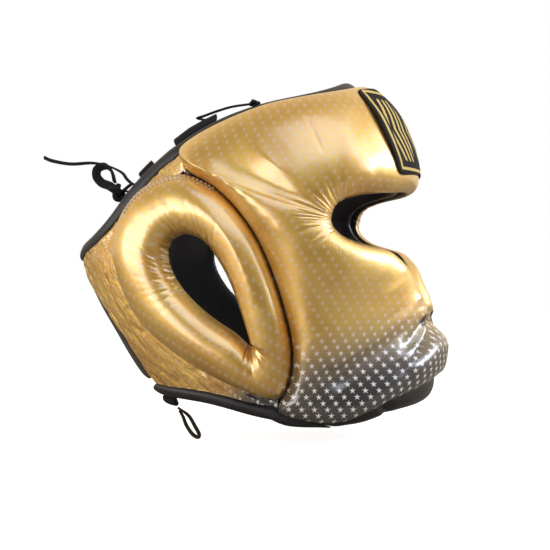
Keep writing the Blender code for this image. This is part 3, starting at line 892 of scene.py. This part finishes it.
def press_along(piece, path, depth, width, ends=(0.0, 0.0)):
    """Presses a groove along a path and its mirror image, or raises a ridge where depth is negative."""
    line = path_line(path)
    shares = np.interp(np.linspace(0, 1, len(line)), (0, 0.3, 0.7, 1), (ends[0], 1, 1, ends[1]))
    points = on_right_side(points_of(piece))
    near = np.full(len(points), np.inf)
    strength = np.zeros(len(points))
    for spot, share in zip(line, smoothed(shares)):
        distance = ((points - spot) ** 2).sum(1)
        closer = distance < near
        near[closer] = distance[closer]
        strength[closer] = share
    facing = smoothed(np.clip(outward_of(piece) * 2, 0, 1))
    press_in(piece, depth * strength * np.exp(-near / width**2) * facing)


def paint_crease_shade(piece, path, width):
    """Paints shade into a groove along a path and its mirror image: the lining's black, as a wedge that
    narrows to nothing.
    """
    line = path_line(path)
    points = on_right_side(points_of(piece))
    turned = np.full(len(points), -1.0)
    for spot, share in zip(line, np.linspace(1, 0, len(line))):
        distance = np.sqrt(((points - spot) ** 2).sum(1))
        turned = np.maximum(turned, (width * share - distance) * WEDGE_SHARPNESS)
    layer = piece.data.uv_layers["lining"]
    corners = corners_of(piece)
    values = np.empty(len(corners) * 2, np.float32)
    layer.data.foreach_get("uv", values)
    values = np.maximum(values.reshape(-1, 2), turned[corners][:, None].astype(np.float32))
    layer.data.foreach_set("uv", values.ravel())


def rumple(piece, depth, size):
    """Small sharp wrinkles pressed into thin leather, stretched along the way that it pulls."""
    points, outward = points_of(piece), outward_of(piece)
    heights = np.zeros(len(points))
    for index in np.flatnonzero(outward > 0):
        x, y, z = points[index]
        spot = Vector((x * 0.6, y * 0.81 - z * 0.58, (y * 0.58 + z * 0.81) * 0.3)) / size
        heights[index] = 1 - 2 * min(abs(noise.noise(spot)) * 2, 0.5)
        heights[index] += 0.4 * (1 - 2 * min(abs(noise.noise(spot * 2.3)) * 2, 0.5))
    press_in(piece, depth * heights * smoothed(np.clip(outward * 2, 0, 1)))


def folds_map(piece, angle, away, radius):
    """A map for fine gathers: millimetres round a sewn edge, and millimetres away from it."""
    set_map(piece, "folds", np.stack([np.radians(angle) * radius, away], axis=1) * 1000)


def seam_line(points, angle, chosen):
    """A closed line through the chosen points, in order of angle."""
    spots = np.linspace(-180, 180, SEAM_POINTS, endpoint=False)
    order = np.argsort(angle[chosen])
    line = between(spots, angle[chosen][order], points[chosen][order], period=360)
    for _ in range(3):
        line = (np.roll(line, 1, axis=0) + 2 * line + np.roll(line, -1, axis=0)) / 4
    return line


def stitches(name, line, carrier, material):
    """Short stitches at an even pitch along a line, laid on the surface that carries them."""
    tree = BVHTree.FromObject(carrier, bpy.context.evaluated_depsgraph_get())
    lengths = lengths_along(line)
    starts = np.arange(STITCH_PITCH / 2, lengths[-1], STITCH_PITCH)
    spots = between(starts, lengths, line)
    afters = between(starts + STITCH_PITCH / 4, lengths, line)
    points, faces = [], []
    for spot, after in zip(spots, afters):
        found, normal, _, _ = tree.find_nearest(Vector(spot))
        ahead = Vector(after) - Vector(spot)
        ahead = (ahead - normal * ahead.dot(normal)).normalized()
        side = ahead.cross(normal)
        faces += tube_faces(len(points), len(STITCH_RINGS), STITCH_CORNERS)
        for along, size in STITCH_RINGS:
            sag = STITCH_THICKNESS * (0.35 - 0.6 * abs(along))
            centre = found + ahead * along * STITCH_LENGTH / 2 + normal * sag
            for corner in range(STITCH_CORNERS):
                turn = corner * 2 * math.pi / STITCH_CORNERS
                out = side * math.cos(turn) + normal * math.sin(turn)
                points.append(centre + out * size * STITCH_THICKNESS / 2)
    piece = new_piece(name, points, faces, material)
    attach(piece, "root")


def patch_map(piece):
    """The patch's own map: -1 to 1 across and 0 to 1 up, whatever its outline."""
    points = points_of(piece)
    up = points[:, 2]
    share = (up - up.min()) / (up.max() - up.min())
    index = np.minimum((share * PATCH_BINS).astype(int), PATCH_BINS - 1)
    half = np.zeros(PATCH_BINS)
    np.maximum.at(half, index, np.abs(points[:, 0]))
    spots = (np.arange(PATCH_BINS) + 0.5) / PATCH_BINS
    known = half > 0.02
    across = points[:, 0] / np.interp(share, spots[known], half[known])
    set_map(piece, "patch", np.stack([across, share], axis=1))


def woven_patch(name):
    """Black weave with a sewn edge, a thin gold border, and a plain lozenge between slanting bars."""
    shader = Shader(name, BLACK, 0.7, Specular_IOR_Level=0.2)
    across, up, _ = shader.axes(shader.map("patch"))
    side = abs(across)
    level = abs(up - 0.5) * 2
    from_side = (1 - side) * PATCH_HALF_WIDTH
    from_end = (1 - level) * PATCH_HALF_HEIGHT
    from_edge = from_side.least(from_end)
    border = from_edge.ramp(0.0038, 0.0042) * (1 - from_edge.ramp(0.0062, 0.0066))
    lozenge = side / 0.30 + level / 0.62
    outline = lozenge.ramp(0.80, 0.84) * (1 - lozenge.ramp(0.98, 1.02))
    heart = 1 - lozenge.ramp(0.48, 0.54)
    bars = ((side + level * 0.22) * 7.5).fraction()
    bars = bars.ramp(0.28, 0.34) * (1 - bars.ramp(0.72, 0.78))
    bars = bars * side.ramp(0.36, 0.38) * (1 - side.ramp(0.82, 0.84)) * (1 - level.ramp(0.66, 0.70))
    gold = border.most(outline).most(heart).most(bars)
    edge = 1 - from_edge.ramp(0.0018, 0.0022)
    sideways, along, height = shader.axes(shader.place())
    weave = (sideways * PATCH_WEAVE).sine() * (height * PATCH_WEAVE).sine()
    satin = ((sideways + height * 0.4) * PATCH_SATIN).sine()
    overcast = ((sideways + height + along) * PATCH_OVERCAST).sine()
    relief = weave * 0.00010 + gold * (satin * 0.00010 + 0.0004) + edge * (overcast * 0.0002 + 0.0005)
    shader.bump(relief)
    # Painted highlight and shade: the weave is lighter on its raised threads than in its dips, and the
    # gold threads darker in the satin stitches' dips
    cloth = shader.mix(weave.ramp(-0.3, 1.0), PATCH_BLACK_IN_SHADE, PATCH_BLACK_HIGHLIT)
    shader.feed(Base_Color=shader.mix(gold * (satin * 0.15 + 0.85), cloth, THREAD_GOLD))
    shader.feed(Roughness=0.75 - gold * 0.3)
    return shader.material


def sewn_strip(name, line, width, thickness, material):
    """A flat tape behind a seam, black as painted shade in the crease, or a thin cord in it, along a
    line on the pads.
    """
    piece = flat_strip(name, line, width, thickness, 0.0, material, (1, 0, 0))
    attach(piece, "root")


# Grooves and ridges on the right half of the front pad and its lining, which the left half mirrors
CHIN_FOLD = [
    (-0.027, -0.127, -0.032),
    (-0.036, -0.125, -0.034),
    (-0.044, -0.122, -0.036),
    (-0.053, -0.118, -0.043),
    (-0.059, -0.113, -0.051),
    (-0.065, -0.108, -0.059),
]
CHIN_ROLL = [
    (-0.010, -0.130, -0.054),
    (-0.029, -0.130, -0.055),
    (-0.044, -0.125, -0.063),
    (-0.057, -0.116, -0.069),
    (-0.067, -0.106, -0.073),
]
TEMPLE_RIDGE = [
    (-0.102, 0.034, 0.077),
    (-0.103, 0.019, 0.073),
    (-0.105, 0.000, 0.067),
    (-0.104, -0.018, 0.060),
    (-0.102, -0.037, 0.052),
]
JAW_DENT = [
    (-0.096, -0.049, -0.068),
    (-0.093, -0.056, -0.072),
    (-0.090, -0.063, -0.077),
    (-0.088, -0.070, -0.083),
]
TEMPLE_CREASE = [
    (-0.082, -0.036, 0.121),
    (-0.087, -0.042, 0.111),
    (-0.091, -0.048, 0.099),
    (-0.092, -0.053, 0.088),
]
CHIN_TUCK = [
    (-0.060, -0.092, -0.098),
    (-0.056, -0.098, -0.104),
    (-0.044, -0.092, -0.112),
]


def ear_seams(side, sign, ring, angle, share, facing):
    """The stitches on an ear ring, the cord in the crease round it and the black tape behind that, which
    closes the seam and is painted shade in the crease.
    """
    points = points_of(ring)
    first, last = (SEAM_POINTS * (180 + spot) // 360 for spot in STITCHED)
    for row, place in enumerate(STITCH_ROWS):
        line = seam_line(points, angle, (np.abs(share - place) < 0.02) & (facing > 0))
        stitches("ear_seam_stitches_%s_%d" % (side, row), line[first:last], ring, pale_thread)
    edge = seam_line(points, angle, (share > 0.985) & (np.abs(points[:, 0]) > 0.078))
    edge = np.roll(edge, SEAM_POINTS // 2, axis=0)
    spots = np.linspace(0, 360, SEAM_POINTS, endpoint=False)
    crease = edge[(spots > WELTED[0]) & (spots < WELTED[1])]
    crease[:, 0] += WELT_OUT * sign
    sewn_strip("ear_welt_" + side, crease, WELT_WIDTH, WELT_WIDTH, welt_cord)
    behind = edge[(spots > BACKED[0]) & (spots < BACKED[1])]
    away = behind[:, 1:] - EAR_CENTRE
    behind[:, 1:] += away / np.linalg.norm(away, axis=1, keepdims=True) * EAR_SHADE_TAPE_OUT
    behind[:, 0] -= EAR_SHADE_TAPE_SINK * sign
    sewn_strip("ear_shade_tape_" + side, behind, EAR_SHADE_TAPE_WIDTH, SHADE_TAPE_THICKNESS, crease_shade_tape)


def make_ear_ring(side, sign):
    """A padded roll, gathered round the ear hole and at its lowest tip."""
    ring = soft_copy("ear_ring_" + side, 3)
    lining_map(ring, 0.5)
    points = points_of(ring)
    angle, reach = round_centre(points, EAR_CENTRE)
    inner, outer = edges_round(angle, reach)
    share = np.clip((reach - inner) / (outer - inner), 0, 1)
    facing = normals_of(ring)[:, 0] * sign
    tip_angle, tip_away = round_centre(points, EAR_TIP)
    depth = gathered(angle, share, RING_GATHERS)
    depth += gathered(tip_angle, tip_away / FOLD_REACH, TIP_GATHERS)
    press_in(ring, depth * smoothed(np.clip(facing * 2 + 0.7, 0, 1)))
    print_map(ring, PRINT_TILT)
    folds_map(ring, angle, reach - inner, EAR_HOLE_RADIUS)
    leather = printed_leather(
        "ring leather " + side, RING_FADE_FROM, FADE_ALONG, RING_FADE_LENGTH, STREAK_DEPTH, 14.0
    )
    dress(ring, leather)
    ear_seams(side, sign, ring, angle, share, facing)
    return ring


def make_hem(side):
    """The tape on the lower edge, which narrows below the jaw, and a flat black tape behind its seam,
    which closes it and is painted shade in the crease along the hem's upper edge.
    """
    hem = soft_copy("hem_binding_" + side, 2)
    swell(hem, TAPE_SWELL)
    points = points_of(hem)
    back = points[:, 1]
    first = back.min()
    stations = np.linspace(first + HEM_WINDOW, back.max() - HEM_WINDOW, HEM_STATIONS)
    middle = np.array([points[np.abs(back - place) < HEM_WINDOW].mean(axis=0) for place in stations])
    behind = middle[middle[:, 1] > first + HEM_TAPER] * (0.97, 1, 1) + (0, 0, HEM_SHADE_TAPE_RISE)
    sewn_strip("hem_shade_tape_" + side, behind, HEM_SHADE_TAPE_WIDTH, SHADE_TAPE_THICKNESS, crease_shade_tape)
    narrow = smoothed(np.clip(1 - (back - first) / HEM_TAPER, 0, 1))
    middle = np.concatenate([3 * middle[:1] - 2 * middle[1:2], middle])
    for axis in (0, 2):
        centre = np.interp(back, middle[:, 1], middle[:, axis])
        points[:, axis] += (centre - points[:, axis]) * narrow * 0.8
    points[:, 2] += narrow * HEM_POINT_RISE
    move_points(hem, points)
    dress(hem, black_leather("hem tape " + side, 0.5))
    return hem


def make_front(rings, hems):
    """The face pad: evened out, led up to its neighbours, folded at the chin, gathered at the eyes."""
    front = soft_copy("front_pad", 1)
    relax(front, 140, 0.15)
    add_modifier(front, "SUBSURF", levels=2, render_levels=2)
    meet(front, rings, 0.004, 0.014)
    meet(front, hems, 0.004, 0.012)
    lining_map(front)
    press_along(front, TEMPLE_RIDGE, 0.0018, 0.0120, (0.3, 0.0))
    press_along(front, CHIN_FOLD, 0.0035, 0.0050, (1.0, 0.0))
    press_along(front, CHIN_ROLL, -0.0030, 0.0085, (1.0, 0.0))
    # Painted shade: the chin fold's groove is coloured with the lining's black
    paint_crease_shade(front, CHIN_FOLD, 0.0052)
    press_along(front, JAW_DENT, 0.0022, 0.0060)
    press_along(front, TEMPLE_CREASE, 0.0009, 0.0009)
    points = points_of(front)
    angle, reach = round_centre(points, EYE_CENTRE)
    away = np.maximum(reach - EYE_RADIUS, 0)
    beside = smoothed(np.clip(np.abs(points[:, 0]) / 0.03 - 1, 0, 1))
    press_in(front, gathered(angle, away / FOLD_REACH, EYE_GATHERS) * beside)
    print_map(front)
    folds_map(front, angle, away, EYE_FOLD_RADIUS)
    leather = printed_leather("front leather", FADE_FROM, FADE_ALONG, FADE_LENGTH, STREAK_DEPTH, 16.0)
    dress(front, leather)
    return front


def make_lining():
    """The padded inner half of the face pad, tucked in below the chin."""
    lining = soft_copy("front_lining", 3)
    press_along(lining, CHIN_TUCK, 0.0045, 0.0035, (0.6, 0.0))
    dress(lining, black_leather("lining pads"))


def make_rear_panel(side, front, rings, hems):
    """The thin crinkled leather behind an ear ring."""
    panel = soft_copy("rear_panel_" + side, 3)
    lining_map(panel)
    meet(panel, [front], 0.010, 0.024)
    meet(panel, rings, 0.004, 0.012)
    meet(panel, hems, 0.003, 0.010)
    rumple(panel, 0.0007, 0.008)
    print_map(panel, PRINT_TILT)
    leather = printed_leather(
        "panel leather " + side, PANEL_FADE_FROM, PANEL_FADE_ALONG, PANEL_FADE_LENGTH,
        crinkle=CRINKLE_DEPTH,
    )
    dress(panel, leather)
    return panel


def make_tab(node, cloth):
    """A short block of folded webbing with softened edges."""
    tab = soft_copy(node, 0)
    add_modifier(tab, "BEVEL", width=TAB_BEVEL, segments=3)
    dress(tab, webbing(cloth))


def make_crown_tape(neighbours):
    """The thick tape round the open crown."""
    top = soft_copy("top_binding", 2)
    swell(top, TAPE_SWELL)
    meet(top, neighbours, 0.002, 0.008)
    dress(top, black_leather("crown tape", 0.5))


pale_thread = plain_thread("pale thread", PALE_THREAD)
welt_cord = plain_thread("welt leather", WELT_BROWN)
# Painted shade: black tape behind the seams, seen in the creases at the ear rings and along the hems
crease_shade_tape = black_leather("seam tape in painted crease shade", 0.6)
rings = [make_ear_ring("right", -1), make_ear_ring("left", 1)]
hems = [make_hem("right"), make_hem("left")]
front = make_front(rings, hems)
make_lining()
panels = [make_rear_panel(side, front, rings, hems) for side in ("right", "left")]
back = soft_copy("back_panel", 2)
meet(back, panels, 0.004, 0.010)
dress(back, black_leather("back leather"))
for side in ("right", "left"):
    for spot in ("crown", "rear"):
        make_tab("lace_tab_" + spot + "_" + side, "tab webbing " + spot + " " + side)
make_crown_tape([front, *panels])
make_tab("nape_tab", "nape webbing")
patch = soft_copy("brow_patch", 2)
patch_map(patch)
dress(patch, woven_patch("patch weave"))


# Studio

def area_light(name, place, size, power, colour=(1, 1, 1)):
    light = bpy.data.objects.new(name, bpy.data.lights.new(name, "AREA"))
    light.data.shape = "RECTANGLE"
    light.data.size, light.data.size_y = size
    light.data.energy = power
    light.data.color = colour
    light.location = place
    light.rotation_euler = (-Vector(place)).to_track_quat("-Z", "Y").to_euler()
    bpy.context.scene.collection.objects.link(light)


def white_room():
    """White to the camera, and darker in reflections where a studio is, behind the camera."""
    world = bpy.data.worlds.new("studio")
    world.use_nodes = True
    nodes, links = world.node_tree.nodes, world.node_tree.links
    background = nodes["Background"]
    place = nodes.new("ShaderNodeTexCoord")
    facing = nodes.new("ShaderNodeVectorMath")
    facing.operation = "DOT_PRODUCT"
    facing.inputs[1].default_value = (-math.cos(CAMERA_TURN), -math.sin(CAMERA_TURN), 0)
    links.new(place.outputs["Generated"], facing.inputs[0])
    dimmed = nodes.new("ShaderNodeMapRange")
    dimmed.interpolation_type = "SMOOTHSTEP"
    limits = {"From Min": -0.5, "From Max": 0.8, "To Min": BRIGHT_SIDE, "To Max": DARK_SIDE}
    for name, value in limits.items():
        dimmed.inputs[name].default_value = value
    links.new(facing.outputs["Value"], dimmed.inputs["Value"])
    seen = nodes.new("ShaderNodeLightPath")
    strength = nodes.new("ShaderNodeMath")
    strength.operation = "MAXIMUM"
    links.new(seen.outputs["Is Camera Ray"], strength.inputs[0])
    links.new(dimmed.outputs["Result"], strength.inputs[1])
    links.new(strength.outputs[0], background.inputs["Strength"])
    tint = nodes.new("ShaderNodeMix")
    tint.data_type = "RGBA"
    tint.inputs[MIX_FIRST].default_value = (*ROOM_TINT, 1)
    tint.inputs[MIX_SECOND].default_value = (1, 1, 1, 1)
    links.new(seen.outputs["Is Camera Ray"], tint.inputs[MIX_SHARE])
    links.new(tint.outputs[MIX_COLOUR], background.inputs["Color"])
    return world


def make_studio():
    """A plain pale floor, a pale room and four soft lights."""
    bpy.ops.mesh.primitive_plane_add(size=8, location=(0, 0, cad_box[0][2] - 0.002))
    floor = bpy.context.active_object
    floor.name = "floor"
    paper = Shader("pale floor", FLOOR_IN_REFLECTIONS, 0.8)
    seen = paper.node("ShaderNodeLightPath", output="Is Camera Ray")
    paper.feed(Base_Color=paper.mix(seen, FLOOR_IN_REFLECTIONS, FLOOR_GREY))
    paper.surface.inputs["Emission Strength"].default_value = FLOOR_GLOW
    paper.feed(Emission_Color=paper.mix(seen, (0, 0, 0), (1, 1, 1)))
    floor.data.materials.append(paper.material)
    bpy.context.scene.world = white_room()
    bpy.context.scene.view_settings.view_transform = "Standard"
    area_light("front softbox", (0.05, -1.20, 0.60), (1.5, 0.7), 5, COOL_LIGHT)
    area_light("front strip", (0.15, -1.25, 0.50), (1.1, 0.28), 8, COOL_LIGHT)
    area_light("upper softbox", (-0.80, -0.55, 1.10), (1.6, 1.0), 9, COOL_LIGHT)
    area_light("rear softbox", (-1.10, 0.95, 0.20), (1.8, 0.64), 13)


make_studio()
